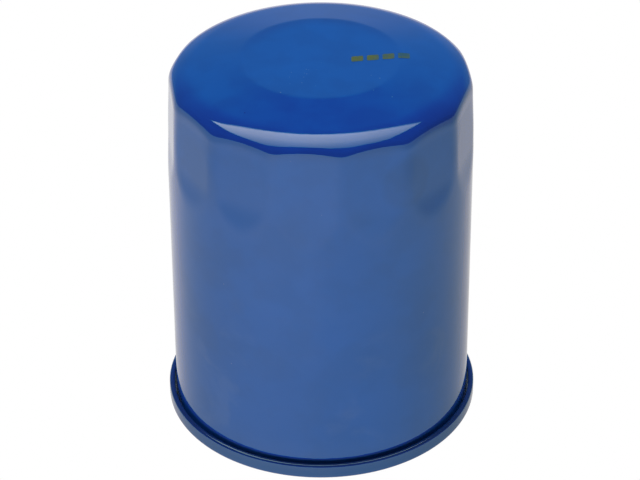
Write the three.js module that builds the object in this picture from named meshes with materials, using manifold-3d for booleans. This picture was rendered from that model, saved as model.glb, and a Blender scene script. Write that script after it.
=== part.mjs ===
// Spin-on oil filter, dome end up, standing on its sealing gasket.
// Frame: millimetres, +Z up along the filter's axis, z = 0 at the gasket's sealing face.
// Angles are measured from the front (-Y) towards +X, as a lathe geometry turns them here.
import * as THREE from 'three';
import { mergeVertices } from 'three/addons/utils/BufferGeometryUtils.js';
import Module from 'manifold-3d';

const wasm = await Module();
wasm.setup();

// ---- Driving dimensions --------------------------------------------------------------------

// Deep-drawn can
const CAN_RADIUS = 38;
const CAN_SHEET = 0.35;
const TOTAL_HEIGHT = 100;
const DISC_RADIUS = 19.8;
const SHOULDER_RADIUS = 5.75;
const SHOULDER_SWEEP = THREE.MathUtils.degToRad(64.5);
const CROWN_RADIUS = 15.3; // the gentler bend from the shoulder into the cone
const CONE_SLOPE = THREE.MathUtils.degToRad(10.7);
const CONE_EDGE = CAN_RADIUS - SHOULDER_RADIUS * (1 - Math.cos(SHOULDER_SWEEP))
  - CROWN_RADIUS * (Math.cos(SHOULDER_SWEEP) - Math.sin(CONE_SLOPE));
const CONE_START = TOTAL_HEIGHT - (CONE_EDGE - DISC_RADIUS) * Math.tan(CONE_SLOPE);
const SHOULDER_START = CONE_START - SHOULDER_RADIUS * Math.sin(SHOULDER_SWEEP)
  - CROWN_RADIUS * (Math.cos(CONE_SLOPE) - Math.sin(SHOULDER_SWEEP));

// Wrench flats pressed into the top of the can's wall
const FLATS = 14;
const FLAT_END = 66.5;
const FLAT_RUN_OUT = 12;
const FLAT_END_DEPTH = 0.35;
const FLAT_TOP_DEPTH = 1.2;
const FLAT_PHASE = THREE.MathUtils.degToRad(-5);
const FLAT_ROWS = 6;

// Double seam that locks the can to the seaming lid
const LID_SHEET = 0.45;
const SEAM_RADIUS = 39.85;
const SEAM_BOTTOM = 1.2;
const SEAM_TOP = 5.3;
const LAYER_GAP = 0.07;
const HOOK_GAP = 0.5; // from the can's body hook up to the lid's fold
const COMPOUND_GAP = 0.35; // from the lid's fold up to the can's hook, where the compound lies
const HOOK_END = 2.9;

// Seaming lid: recess, gasket groove and inner flat
const RECESS_FLOOR = 4.15;
const GROOVE_FLOOR = 6.25;
const GROOVE_OUTER = 35.45;
const GROOVE_INNER = 30.2;
const RIDGE_BOTTOM = 2.6;
const RIDGE_INNER = 28.6;
const LID_OPENING = 25;

// Sealing gasket
const GASKET_INNER = 30.9;
const GASKET_OUTER = 34.7;
const GASKET_HEIGHT = 5.9;

// Threaded base plate, 3/4-16 UNF
const PLATE_RADIUS = 36.8;
const PLATE_BOTTOM = 6.55;
const PLATE_THICKNESS = 3.2;
const HUB_RADIUS = 15.5;
const HUB_TOP = 11.9;
const COLLAR_RADIUS = 12;
const COLLAR_TOP = 17;
const THREAD_PITCH = 25.4 / 16;
const THREAD_MAJOR = 19.05 / 2;
const THREAD_MINOR = 17.4 / 2;
const INLETS = 8;
const INLET_RADIUS = 3;
const INLET_CIRCLE = 21;

// Anti-drainback valve
const SLEEVE_INNER = 12.3;
const SLEEVE_OUTER = 14;
const SLEEVE_TOP = 18.5;
const LIP_RADIUS = 26.5;

// Filter element
const CAP_SHEET = 0.4;
const CAP_RADIUS = 33.5;
const ELEMENT_BOTTOM = 13.4;
const ELEMENT_TOP = 84.4;
const BOND_THICKNESS = 2.5;
const NECK_RADIUS = 14.5;
const TUBE_INNER = 16.5;
const TUBE_OUTER = 17.1;
const TUBE_ROWS = 6;
const TUBE_HOLES = 6;
const TUBE_HOLE_RADIUS = 2.6;
const PLEATS = 47;
const PLEAT_TIP = 32.8;
const PLEAT_VALLEY = 18.2;
const PAPER = 2.8; // the paper's thickness, measured along a radius
const PLEAT_GAP = THREE.MathUtils.degToRad(1.2);

// Bypass valve in the element's upper end
const SEAT_RADIUS = 7.5;
const HOUSING_RADIUS = 12.4;
const HOUSING_FLANGE = 14.3;
const HOUSING_SHEET = 0.5;
const POPPET_RADIUS = 10.3;
const POPPET_TOP = 83.5;
const POPPET_DISC = 1;
const BYPASS_SPRING_RADIUS = 5.4;
const BYPASS_WIRE = 1;
const BYPASS_TURNS = 5.5;
const RETAINER_RADIUS = 11.35;
const RETAINER_FLOOR = 69.8;

// Hold-down spring between the element and the dome
const HOLD_SPRING_RADIUS = 17.4;
const HOLD_WIRE = 1.6;
const HOLD_TURNS = 3.5;
const SEAT_GAP = 0.35; // from the end cap up to the middle of the spring seat's sheet

// Clear distance left between pieces that rest on each other
const REST = 0.1;

// Facets round each revolved piece: three to a flat on the can, fewer inside it
const OUTER_FACETS = FLATS * 3;
const INNER_FACETS = 24;

// ---- Materials -----------------------------------------------------------------------------

const finish = (color, roughness, metalness) =>
  new THREE.MeshStandardMaterial({ color, roughness, metalness });

const BLUE_PAINT = [0x1c4f9c, 0.22, 0.1];
const ZINC_STEEL = [0xb4b6b2, 0.38, 0.9];
const PLATE_STEEL = [0x8e9092, 0.42, 0.9];
const SPRING_STEEL = [0x74777c, 0.35, 1.0];
const NITRILE = [0x191919, 0.65, 0.0];
const PAPER_MEDIA = [0xd9c07a, 0.9, 0.0];
const PLASTISOL = [0xb5432c, 0.55, 0.0];
const COMPOUND = [0x9b9a8a, 0.7, 0.0];

// ---- Sections and solids -------------------------------------------------------------------

// One rounded corner of an outline, as points on its arc.
function corner(before, here, after, bend, steps) {
  const back = before.clone().sub(here).normalize();
  const on = after.clone().sub(here).normalize();
  const half = Math.acos(THREE.MathUtils.clamp(back.dot(on), -1, 1)) / 2;
  const reach = bend / Math.tan(half);
  const centre = here.clone().add(back.clone().add(on).setLength(bend / Math.sin(half)));
  const from = here.clone().addScaledVector(back, reach).sub(centre);
  const to = here.clone().addScaledVector(on, reach).sub(centre);
  const start = Math.atan2(from.y, from.x);
  const turn = Math.atan2(from.cross(to), from.dot(to));
  const points = [];
  for (let i = 0; i <= steps; i++) {
    const angle = start + (turn * i) / steps;
    points.push(new THREE.Vector2(Math.cos(angle), Math.sin(angle)).multiplyScalar(bend).add(centre));
  }
  return points;
}

// A line through [radius, height, bend, steps] corners; a corner with no bend stays sharp.
function line(corners) {
  const at = corners.map(([r, z]) => new THREE.Vector2(r, z));
  return corners.flatMap(([, , bend, steps = 1], i) =>
    bend ? corner(at[i - 1], at[i], at[i + 1], bend, steps) : [at[i]]);
}

// A sheet-metal section: a middle line thickened by half a sheet to each side.
function sheet(points, thickness) {
  const sides = [[], []];
  points.forEach((point, i) => {
    const before = points[Math.max(i - 1, 0)];
    const after = points[Math.min(i + 1, points.length - 1)];
    const along = (a, b) => (a === b ? null : b.clone().sub(a).normalize());
    const inward = along(before, point) ?? along(point, after);
    const outward = along(point, after) ?? inward;
    const mean = inward.clone().add(outward).normalize();
    const width = thickness / 2 / mean.dot(outward);
    const normal = new THREE.Vector2(-mean.y, mean.x).multiplyScalar(width);
    sides[0].push(point.clone().add(normal));
    sides[1].push(point.clone().sub(normal));
  });
  return [...sides[0], ...sides[1].reverse()];
}

// Area that a closed outline encloses, positive when it runs anticlockwise.
const area = (outline) => THREE.ShapeUtils.area(outline);

// Turns a section round Z. A section away from the axis is closed on itself.
function revolve(section, facets, phase = 0) {
  const onAxis = (point) => Math.abs(point.x) < 1e-9;
  const ordered = area(section) > 0 ? section : [...section].reverse();
  const start = ordered.findIndex((point, i) => onAxis(point) && onAxis(ordered.at(i - 1)));
  const first = Math.max(start, 0);
  const turned = [...ordered.slice(first), ...ordered.slice(0, first)];
  const profile = start < 0 ? [...turned, turned[0]] : turned;
  return new THREE.LatheGeometry(profile, facets, phase).rotateX(Math.PI / 2);
}

// Extrudes a plan outline of [x, y] points from one height to another.
function prism(outline, bottom, top) {
  const shape = new THREE.Shape(outline);
  const options = { depth: top - bottom, bevelEnabled: false };
  return new THREE.ExtrudeGeometry(shape, options).translate(0, 0, bottom);
}

// A coil spring between two heights, whose closed end coils climb by one wire in each turn.
class Coil extends THREE.Curve {
  constructor(radius, wire, bottom, top, turns) {
    super();
    Object.assign(this, { radius, wire, bottom, top, turns });
  }

  getPoint(t, target = new THREE.Vector3()) {
    const closed = 0.75;
    const closedRise = 1.06 * this.wire * closed;
    const turn = t * this.turns;
    const share = THREE.MathUtils.clamp((turn - closed) / (this.turns - 2 * closed), 0, 1);
    const closedTurns = Math.min(turn, closed) + Math.max(turn - this.turns + closed, 0);
    const height = this.bottom + (this.top - this.bottom - 2 * closedRise) * share
      + (closedRise * closedTurns) / closed;
    const angle = 2 * Math.PI * turn;
    return target.set(Math.cos(angle) * this.radius, Math.sin(angle) * this.radius, height);
  }
}

function spring(coil, wire, stepsPerTurn, sides) {
  const ring = new THREE.EllipseCurve(0, 0, wire / 2, wire / 2).getPoints(sides).slice(0, sides);
  const steps = Math.round(coil.turns * stepsPerTurn);
  const options = { steps, extrudePath: coil, bevelEnabled: false };
  return new THREE.ExtrudeGeometry(new THREE.Shape(ring), options);
}

// ---- Boolean cuts --------------------------------------------------------------------------

function solid(geometry) {
  const bare = geometry.clone();
  bare.deleteAttribute('normal');
  bare.deleteAttribute('uv');
  const merged = mergeVertices(bare, 1e-4);
  const index = merged.index.array;
  const kept = [];
  for (let i = 0; i < index.length; i += 3) {
    const [a, b, c] = index.slice(i, i + 3);
    if (a !== b && b !== c && c !== a) kept.push(a, b, c);
  }
  return new wasm.Manifold(new wasm.Mesh({
    numProp: 3,
    vertProperties: new Float32Array(merged.attributes.position.array),
    triVerts: new Uint32Array(kept),
  }));
}

function geometryOf(manifold) {
  const mesh = manifold.getMesh();
  const geometry = new THREE.BufferGeometry();
  geometry.setAttribute('position', new THREE.BufferAttribute(mesh.vertProperties, 3));
  geometry.setIndex(new THREE.BufferAttribute(mesh.triVerts, 1));
  geometry.computeVertexNormals();
  return geometry;
}

function cut(body, tools) {
  return geometryOf(tools.reduce((left, tool) => left.subtract(solid(tool)), solid(body)));
}

// ---- Assembly ------------------------------------------------------------------------------

const filter = new THREE.Group();
filter.name = 'oil_filter';

function add(name, geometry, [color, roughness, metalness]) {
  const mesh = new THREE.Mesh(geometry, finish(color, roughness, metalness));
  mesh.name = name;
  filter.add(mesh);
}

// Radius of the plane that presses a wrench flat into the can, at an angle and a height.
function flatRadius(angle, height) {
  const step = (2 * Math.PI) / FLATS;
  const away = angle - FLAT_PHASE - Math.round((angle - FLAT_PHASE) / step) * step;
  const pressed = THREE.MathUtils.smoothstep(height, FLAT_END, FLAT_END + FLAT_RUN_OUT);
  const lean = THREE.MathUtils.clamp((height - FLAT_END) / (SHOULDER_START - FLAT_END), 0, 1);
  const depth = FLAT_END_DEPTH * pressed + (FLAT_TOP_DEPTH - FLAT_END_DEPTH) * lean;
  return (CAN_RADIUS - depth) / Math.cos(away);
}

// Radius of the can's outside at a height, over its wall and its shoulder.
function wallRadius(height) {
  const rise = THREE.MathUtils.clamp(height - SHOULDER_START, 0, SHOULDER_RADIUS);
  return CAN_RADIUS - SHOULDER_RADIUS + Math.sqrt(SHOULDER_RADIUS ** 2 - rise ** 2);
}

// Points of an arc of the can's middle line, which turns inwards as it rises.
function bendIn(start, bend, from, to, steps) {
  const points = [];
  for (let i = 1; i <= steps; i++) {
    const angle = from + ((to - from) * i) / steps;
    const inward = bend * (Math.cos(from) - Math.cos(angle));
    const rise = bend * (Math.sin(angle) - Math.sin(from));
    points.push(new THREE.Vector2(start.x - inward, start.y + rise));
  }
  return points;
}

// The can: body hook, wall with wrench flats, shoulder, crown, shallow cone and raised disc.
function canShell() {
  const half = CAN_SHEET / 2;
  const wall = CAN_RADIUS - half;
  const hook = SEAM_RADIUS - LID_SHEET - LAYER_GAP - half;
  const flange = SEAM_BOTTOM + LID_SHEET + COMPOUND_GAP + half;
  const points = line([
    [hook, SEAM_TOP - LID_SHEET - HOOK_GAP],
    [hook, flange, CAN_SHEET],
    [wall, flange, CAN_SHEET],
    [wall, FLAT_END],
  ]);
  for (let i = 1; i <= FLAT_ROWS; i++) {
    points.push(new THREE.Vector2(wall, FLAT_END + ((SHOULDER_START - FLAT_END) * i) / FLAT_ROWS));
  }
  points.push(...bendIn(points.at(-1), SHOULDER_RADIUS - half, 0, SHOULDER_SWEEP, 5));
  points.push(...bendIn(points.at(-1), CROWN_RADIUS - half, SHOULDER_SWEEP, Math.PI / 2 - CONE_SLOPE, 2));
  points.push(new THREE.Vector2(DISC_RADIUS, TOTAL_HEIGHT - half), new THREE.Vector2(0, TOTAL_HEIGHT - half));
  const geometry = revolve(sheet(points, CAN_SHEET), OUTER_FACETS, FLAT_PHASE);
  const place = geometry.attributes.position;
  for (let i = 0; i < place.count; i++) {
    const [x, y, z] = [place.getX(i), place.getY(i), place.getZ(i)];
    const radius = Math.hypot(x, y);
    if (z > FLAT_END && radius > CONE_EDGE) {
      const inset = Math.max(0, wallRadius(z) - flatRadius(Math.atan2(x, -y), z));
      place.setXY(i, x * (1 - inset / radius), y * (1 - inset / radius));
    }
  }
  return geometry;
}

// The seaming lid: cover hook, fold, seaming panel, recess, gasket groove, ridge, inner flat.
function seamingLid() {
  const outer = SEAM_RADIUS - LID_SHEET / 2;
  const hook = SEAM_RADIUS - LID_SHEET * 1.5 - LAYER_GAP * 2 - CAN_SHEET;
  const top = SEAM_TOP - LID_SHEET / 2;
  const bottom = SEAM_BOTTOM + LID_SHEET / 2;
  const chuck = CAN_RADIUS - CAN_SHEET - LAYER_GAP - LID_SHEET / 2;
  const fold = (outer - hook) / 2;
  return revolve(sheet(line([
    [hook, HOOK_END],
    [hook, top, fold * 0.98, 2],
    [outer, top, fold * 0.98, 2],
    [outer, bottom, 0.5],
    [chuck, bottom],
    [chuck, RECESS_FLOOR],
    [GROOVE_OUTER, RECESS_FLOOR],
    [GROOVE_OUTER, GROOVE_FLOOR],
    [GROOVE_INNER, GROOVE_FLOOR],
    [GROOVE_INNER, RIDGE_BOTTOM],
    [RIDGE_INNER, RIDGE_BOTTOM],
    [RIDGE_INNER, GROOVE_FLOOR],
    [LID_OPENING, GROOVE_FLOOR],
  ]), LID_SHEET), OUTER_FACETS, FLAT_PHASE);
}

// A plain ring of rectangular section.
function ring(inner, outer, bottom, top, facets, phase) {
  return revolve(line([[inner, bottom], [outer, bottom], [outer, top], [inner, top]]), facets, phase);
}

// The screw that cuts the thread: its rows of points climb one pitch in each turn.
function screw(bottom, top) {
  const columns = 20;
  const rowsPerPitch = 4;
  const rows = Math.ceil(((top - bottom) / THREAD_PITCH + 1) * rowsPerPitch);
  const middle = (THREAD_MAJOR + THREAD_MINOR) / 2;
  const radii = [THREAD_MINOR, middle, THREAD_MAJOR, middle];
  const points = [];
  for (let row = 0; row <= rows; row++) {
    for (let column = 0; column < columns; column++) {
      const angle = (2 * Math.PI * column) / columns;
      const radius = radii[row % rowsPerPitch];
      const height = bottom + (row / rowsPerPitch + column / columns - 1) * THREAD_PITCH;
      points.push(Math.cos(angle) * radius, Math.sin(angle) * radius, height);
    }
  }
  const at = (row, column) => (column < columns ? row * columns + column : (row + rowsPerPitch) * columns);
  const triangles = [];
  for (let column = 0; column < columns; column++) {
    const last = column < columns - 1 ? rows : rows - rowsPerPitch;
    for (let row = 0; row < last; row++) {
      const [a, b] = [at(row, column), at(row, column + 1)];
      const [c, d] = [at(row + 1, column + 1), at(row + 1, column)];
      triangles.push(a, b, c, a, c, d);
    }
  }
  const lowRim = [];
  const highRim = [];
  for (let column = 0; column <= columns; column++) lowRim.push(at(0, column));
  for (let row = rowsPerPitch - 1; row > 0; row--) lowRim.push(at(row, 0));
  for (let column = 0; column < columns; column++) highRim.push(at(rows, column));
  for (let row = 1; row < rowsPerPitch; row++) highRim.push(at(rows - row, columns - 1));
  highRim.push(at(rows - rowsPerPitch, columns - 1));
  const lowCentre = points.length / 3;
  points.push(0, 0, bottom - THREAD_PITCH / 2, 0, 0, top + THREAD_PITCH);
  lowRim.forEach((a, i) => triangles.push(lowCentre, lowRim[(i + 1) % lowRim.length], a));
  highRim.forEach((a, i) => triangles.push(lowCentre + 1, a, highRim[(i + 1) % highRim.length]));
  const geometry = new THREE.BufferGeometry();
  geometry.setAttribute('position', new THREE.Float32BufferAttribute(points, 3));
  geometry.setIndex(triangles);
  return geometry;
}

// The base plate: thick disc with a hub and threaded collar, and inlet holes on a circle.
function basePlate() {
  const plateTop = PLATE_BOTTOM + PLATE_THICKNESS;
  const bore = THREAD_MINOR - 0.4;
  const body = revolve(line([
    [bore, PLATE_BOTTOM],
    [PLATE_RADIUS, PLATE_BOTTOM],
    [PLATE_RADIUS, plateTop],
    [HUB_RADIUS, plateTop],
    [HUB_RADIUS, HUB_TOP],
    [COLLAR_RADIUS, HUB_TOP],
    [COLLAR_RADIUS, COLLAR_TOP],
    [bore, COLLAR_TOP],
  ]), OUTER_FACETS);
  const inlets = [];
  for (let i = 0; i < INLETS; i++) {
    const angle = (2 * Math.PI * (i + 0.5)) / INLETS;
    const hole = new THREE.CylinderGeometry(INLET_RADIUS, INLET_RADIUS, 2 * PLATE_THICKNESS, 12);
    hole.rotateX(Math.PI / 2);
    const [x, y] = [INLET_CIRCLE * Math.cos(angle), INLET_CIRCLE * Math.sin(angle)];
    hole.translate(x, y, plateTop - PLATE_THICKNESS / 2);
    inlets.push(hole);
  }
  return cut(body, [screw(PLATE_BOTTOM - 1, COLLAR_TOP + 1), ...inlets]);
}

// The gasket: square-cut ring with small chamfers.
function sealingGasket() {
  const chamfer = 0.5;
  return revolve(line([
    [GASKET_INNER + chamfer, 0],
    [GASKET_OUTER - chamfer, 0],
    [GASKET_OUTER, chamfer],
    [GASKET_OUTER, GASKET_HEIGHT],
    [GASKET_INNER, GASKET_HEIGHT],
    [GASKET_INNER, chamfer],
  ]), OUTER_FACETS);
}

// The anti-drainback valve: sleeve round the collar, umbrella flange down over the inlets.
function drainbackValve() {
  const plateTop = PLATE_BOTTOM + PLATE_THICKNESS;
  const root = HUB_TOP + REST;
  return revolve(line([
    [SLEEVE_INNER, root],
    [HUB_RADIUS, root],
    [LIP_RADIUS - 1.6, plateTop + 0.75],
    [LIP_RADIUS - 0.8, plateTop + REST],
    [LIP_RADIUS, plateTop + 0.4],
    [LIP_RADIUS, plateTop + 1],
    [HUB_RADIUS, ELEMENT_BOTTOM - REST],
    [SLEEVE_OUTER, ELEMENT_BOTTOM - REST],
    [SLEEVE_OUTER, SLEEVE_TOP],
    [SLEEVE_INNER, SLEEVE_TOP],
  ]), INNER_FACETS);
}

// The lower end cap: cup with a neck that slips over the valve's sleeve.
function lowerEndCap() {
  const plate = ELEMENT_BOTTOM + CAP_SHEET / 2;
  return revolve(sheet(line([
    [CAP_RADIUS, plate + BOND_THICKNESS + 0.7],
    [CAP_RADIUS, plate],
    [NECK_RADIUS, plate],
    [NECK_RADIUS, SLEEVE_TOP],
  ]), CAP_SHEET), INNER_FACETS);
}

// The upper end cap: inverted cup with a hole for the bypass valve.
function upperEndCap() {
  const plate = ELEMENT_TOP - CAP_SHEET / 2;
  return revolve(sheet(line([
    [CAP_RADIUS, plate - BOND_THICKNESS - 0.7],
    [CAP_RADIUS, plate],
    [HOUSING_RADIUS + 0.4, plate],
  ]), CAP_SHEET), INNER_FACETS);
}

// The element's paper: pleats between tip and valley circles, open where the clip joins its ends.
function filterMedia(bottom, top) {
  const halves = PLEATS * 2;
  const step = (2 * Math.PI - 2 * PLEAT_GAP) / halves;
  const run = (tip, valley) => {
    const points = [];
    for (let i = 0; i <= halves; i++) {
      const angle = PLEAT_GAP + step * i;
      const radius = i % 2 ? valley : tip;
      points.push(new THREE.Vector2(Math.cos(angle) * radius, Math.sin(angle) * radius));
    }
    return points;
  };
  const outer = run(PLEAT_TIP, PLEAT_VALLEY + PAPER);
  const inner = run(PLEAT_TIP - PAPER, PLEAT_VALLEY);
  return prism([...outer, ...inner.reverse()], bottom, top);
}

// The clip: folded strip that holds the paper's two ends together, on the +X side.
function seamClip(bottom, top) {
  const strip = 0.35;
  const halfWidth = 1.55 + strip / 2;
  const inside = PLEAT_TIP - 2.3;
  const outside = PLEAT_TIP + 0.35;
  const middle = [[inside, -halfWidth], [outside, -halfWidth], [outside, halfWidth], [inside, halfWidth]];
  return prism(sheet(line(middle), strip), bottom, top);
}

// The centre tube, with its holes in staggered rows.
function centreTube(bottom, top) {
  const tube = ring(TUBE_INNER, TUBE_OUTER, bottom, top, INNER_FACETS);
  const holes = [];
  const margin = 5;
  const pitch = (top - bottom - 2 * margin) / TUBE_ROWS;
  for (let row = 0; row < TUBE_ROWS; row++) {
    for (let i = 0; i < TUBE_HOLES; i++) {
      const hole = new THREE.CylinderGeometry(TUBE_HOLE_RADIUS, TUBE_HOLE_RADIUS, 4, 6);
      hole.translate(0, (TUBE_INNER + TUBE_OUTER) / 2, 0);
      hole.rotateZ((2 * Math.PI * (i + (row % 2) / 2)) / TUBE_HOLES);
      holes.push(hole.translate(0, 0, bottom + margin + pitch * (row + 0.5)));
    }
  }
  return cut(tube, holes);
}

// The bypass housing: flange on the end cap, seat web over the poppet, skirt round it.
function bypassHousing() {
  const under = ELEMENT_TOP + REST;
  const top = under + HOUSING_SHEET;
  const skirtEnd = under - 5;
  return revolve(line([
    [SEAT_RADIUS, under],
    [HOUSING_RADIUS - HOUSING_SHEET, under],
    [HOUSING_RADIUS - HOUSING_SHEET, skirtEnd],
    [HOUSING_RADIUS, skirtEnd],
    [HOUSING_RADIUS, under],
    [HOUSING_FLANGE, under],
    [HOUSING_FLANGE, top],
    [SEAT_RADIUS, top],
  ]), INNER_FACETS);
}

// The poppet: disc that closes the seat, with a boss that centres its spring.
function bypassPoppet() {
  const boss = 2.6;
  return revolve(line([
    [0, POPPET_TOP],
    [0, POPPET_TOP - boss],
    [BYPASS_SPRING_RADIUS - 1.2, POPPET_TOP - boss],
    [BYPASS_SPRING_RADIUS - 1, POPPET_TOP - POPPET_DISC],
    [POPPET_RADIUS, POPPET_TOP - POPPET_DISC],
    [POPPET_RADIUS, POPPET_TOP],
  ]), INNER_FACETS);
}

// The retainer: cup crimped inside the housing's skirt, with four windows in its wall.
function springRetainer() {
  const cup = revolve(sheet(line([
    [3, RETAINER_FLOOR],
    [RETAINER_RADIUS, RETAINER_FLOOR],
    [RETAINER_RADIUS, POPPET_TOP - 1.6],
  ]), HOUSING_SHEET), INNER_FACETS);
  const windows = [0, 1].map((i) =>
    new THREE.BoxGeometry(3 * RETAINER_RADIUS, 8.4, 6.5)
      .translate(0, 0, RETAINER_FLOOR + 6).rotateZ((Math.PI / 2) * i));
  return cut(cup, windows);
}

// The spring seat: dished washer that centres the hold-down spring on the end cap.
function springSeat() {
  const plate = ELEMENT_TOP + SEAT_GAP;
  return revolve(sheet(line([
    [HOLD_SPRING_RADIUS - 2.2, plate],
    [HOLD_SPRING_RADIUS + 2.8, plate],
    [HOLD_SPRING_RADIUS + 2.8, plate + 2.2],
  ]), CAP_SHEET), INNER_FACETS);
}

const plateFace = ELEMENT_BOTTOM + CAP_SHEET + REST;
const capFace = ELEMENT_TOP - CAP_SHEET - REST;
const mediaBottom = plateFace + BOND_THICKNESS + REST / 2;
const mediaTop = capFace - BOND_THICKNESS - REST / 2;
const flangeUnder = SEAM_BOTTOM + LID_SHEET + COMPOUND_GAP;
const seatPlate = ELEMENT_TOP + SEAT_GAP;
const dome = TOTAL_HEIGHT - CAN_SHEET;
const holdCoil = new Coil(HOLD_SPRING_RADIUS, HOLD_WIRE,
  seatPlate + CAP_SHEET / 2 + HOLD_WIRE / 2 + REST, dome - HOLD_WIRE / 2 - REST, HOLD_TURNS);
const bypassCoil = new Coil(BYPASS_SPRING_RADIUS, BYPASS_WIRE,
  RETAINER_FLOOR + HOUSING_SHEET / 2 + REST + BYPASS_WIRE / 2,
  POPPET_TOP - POPPET_DISC - REST - BYPASS_WIRE / 2, BYPASS_TURNS);
const clipInset = 0.6;
const bondRing = (bottom, top) => ring(TUBE_OUTER + 0.2, CAP_RADIUS - 0.4, bottom, top, INNER_FACETS);

add('can_shell', canShell(), BLUE_PAINT);
add('seaming_lid', seamingLid(), ZINC_STEEL);
add('seam_compound', ring(CAN_RADIUS - 0.2, SEAM_RADIUS - LID_SHEET - 0.4,
  flangeUnder - COMPOUND_GAP + REST / 2, flangeUnder - REST / 2, OUTER_FACETS, FLAT_PHASE), COMPOUND);
add('base_plate', basePlate(), PLATE_STEEL);
add('sealing_gasket', sealingGasket(), NITRILE);
add('anti_drainback_valve', drainbackValve(), NITRILE);
add('lower_end_cap', lowerEndCap(), ZINC_STEEL);
add('lower_bond', bondRing(plateFace, plateFace + BOND_THICKNESS), PLASTISOL);
add('filter_media', filterMedia(mediaBottom, mediaTop), PAPER_MEDIA);
add('media_seam_clip', seamClip(mediaBottom + clipInset, mediaTop - clipInset), ZINC_STEEL);
add('center_tube', centreTube(plateFace, capFace), ZINC_STEEL);
add('upper_bond', bondRing(capFace - BOND_THICKNESS, capFace), PLASTISOL);
add('upper_end_cap', upperEndCap(), ZINC_STEEL);
add('bypass_housing', bypassHousing(), PLATE_STEEL);
add('bypass_seat_seal', ring(SEAT_RADIUS + 0.4, POPPET_RADIUS, POPPET_TOP + REST, ELEMENT_TOP,
  INNER_FACETS), NITRILE);
add('bypass_poppet', bypassPoppet(), PLATE_STEEL);
add('bypass_spring', spring(bypassCoil, BYPASS_WIRE, 12, 5), SPRING_STEEL);
add('bypass_spring_retainer', springRetainer(), PLATE_STEEL);
add('element_spring_seat', springSeat(), ZINC_STEEL);
add('element_spring', spring(holdCoil, HOLD_WIRE, 16, 6), SPRING_STEEL);

export default filter;
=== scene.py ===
"""Spin-on oil filter: fine meshes, finishes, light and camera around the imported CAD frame.

Outlines are in millimetres, as (radius, height) in the part's frame. Angles round the filter are
measured from its front (-Y) towards +X.
"""

import math

import bmesh
import bpy
import numpy as np
from mathutils import Matrix, Vector


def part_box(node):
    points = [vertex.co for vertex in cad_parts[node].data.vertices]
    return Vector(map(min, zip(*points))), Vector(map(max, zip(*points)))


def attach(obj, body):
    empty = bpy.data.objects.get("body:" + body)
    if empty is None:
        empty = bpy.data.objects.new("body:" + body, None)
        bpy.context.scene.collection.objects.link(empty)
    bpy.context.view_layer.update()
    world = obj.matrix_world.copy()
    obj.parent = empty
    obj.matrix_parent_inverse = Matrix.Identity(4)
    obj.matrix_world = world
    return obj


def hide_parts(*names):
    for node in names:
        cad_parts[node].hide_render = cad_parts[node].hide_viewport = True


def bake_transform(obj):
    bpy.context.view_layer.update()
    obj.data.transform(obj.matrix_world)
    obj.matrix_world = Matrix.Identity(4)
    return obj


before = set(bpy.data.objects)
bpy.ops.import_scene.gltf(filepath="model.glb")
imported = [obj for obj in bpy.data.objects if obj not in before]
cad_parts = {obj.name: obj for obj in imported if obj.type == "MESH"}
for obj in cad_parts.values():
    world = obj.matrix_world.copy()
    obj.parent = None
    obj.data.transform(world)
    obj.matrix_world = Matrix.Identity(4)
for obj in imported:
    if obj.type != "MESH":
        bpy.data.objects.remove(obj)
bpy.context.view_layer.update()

MM = 0.001
TURN = 2 * math.pi


def low(node):
    """Lowest height of a CAD node, in millimetres."""
    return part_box(node)[0].z / MM


def high(node):
    """Highest height of a CAD node, in millimetres."""
    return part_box(node)[1].z / MM


# ---- Driving dimensions, in millimetres ------------------------------------------------------

CAN_RADIUS = 38.0
CAN_SHEET = 0.35
TOP = high("can_shell")
DISC_RADIUS = 19.8
SHOULDER_RADIUS = 5.75
SHOULDER_SWEEP = math.radians(64.5)
CROWN_RADIUS = 15.3
CONE_SLOPE = math.radians(10.7)

FLATS = 14
FLAT_END_DEPTH = 0.35
FLAT_TOP_DEPTH = 1.2
FLAT_END = 66.5
FLAT_RUN_OUT = 12.0
FLAT_PHASE = math.radians(-5)
FLAT_RIDGE = 0.8
CREASE = 0.3
SHOULDER_CREASE = 1.1

LID_SHEET = 0.45
SEAM_RADIUS = 39.85
SEAM_BOTTOM = low("seaming_lid")
SEAM_TOP = 5.3
LAYER_GAP = 0.07

CAP_RADIUS = 33.5
CAP_SHEET = 0.4

CONE_EDGE = (CAN_RADIUS - SHOULDER_RADIUS * (1 - math.cos(SHOULDER_SWEEP))
             - CROWN_RADIUS * (math.cos(SHOULDER_SWEEP) - math.sin(CONE_SLOPE)))
CONE_START = TOP - (CONE_EDGE - DISC_RADIUS) * math.tan(CONE_SLOPE)
SHOULDER_START = (CONE_START - SHOULDER_RADIUS * math.sin(SHOULDER_SWEEP)
                  - CROWN_RADIUS * (math.cos(CONE_SLOPE) - math.sin(SHOULDER_SWEEP)))

CAN_COLUMNS = FLATS * 30
FINE_COLUMNS = 168
INNER_COLUMNS = 96


# ---- Outlines ----------------------------------------------------------------------------------


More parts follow.
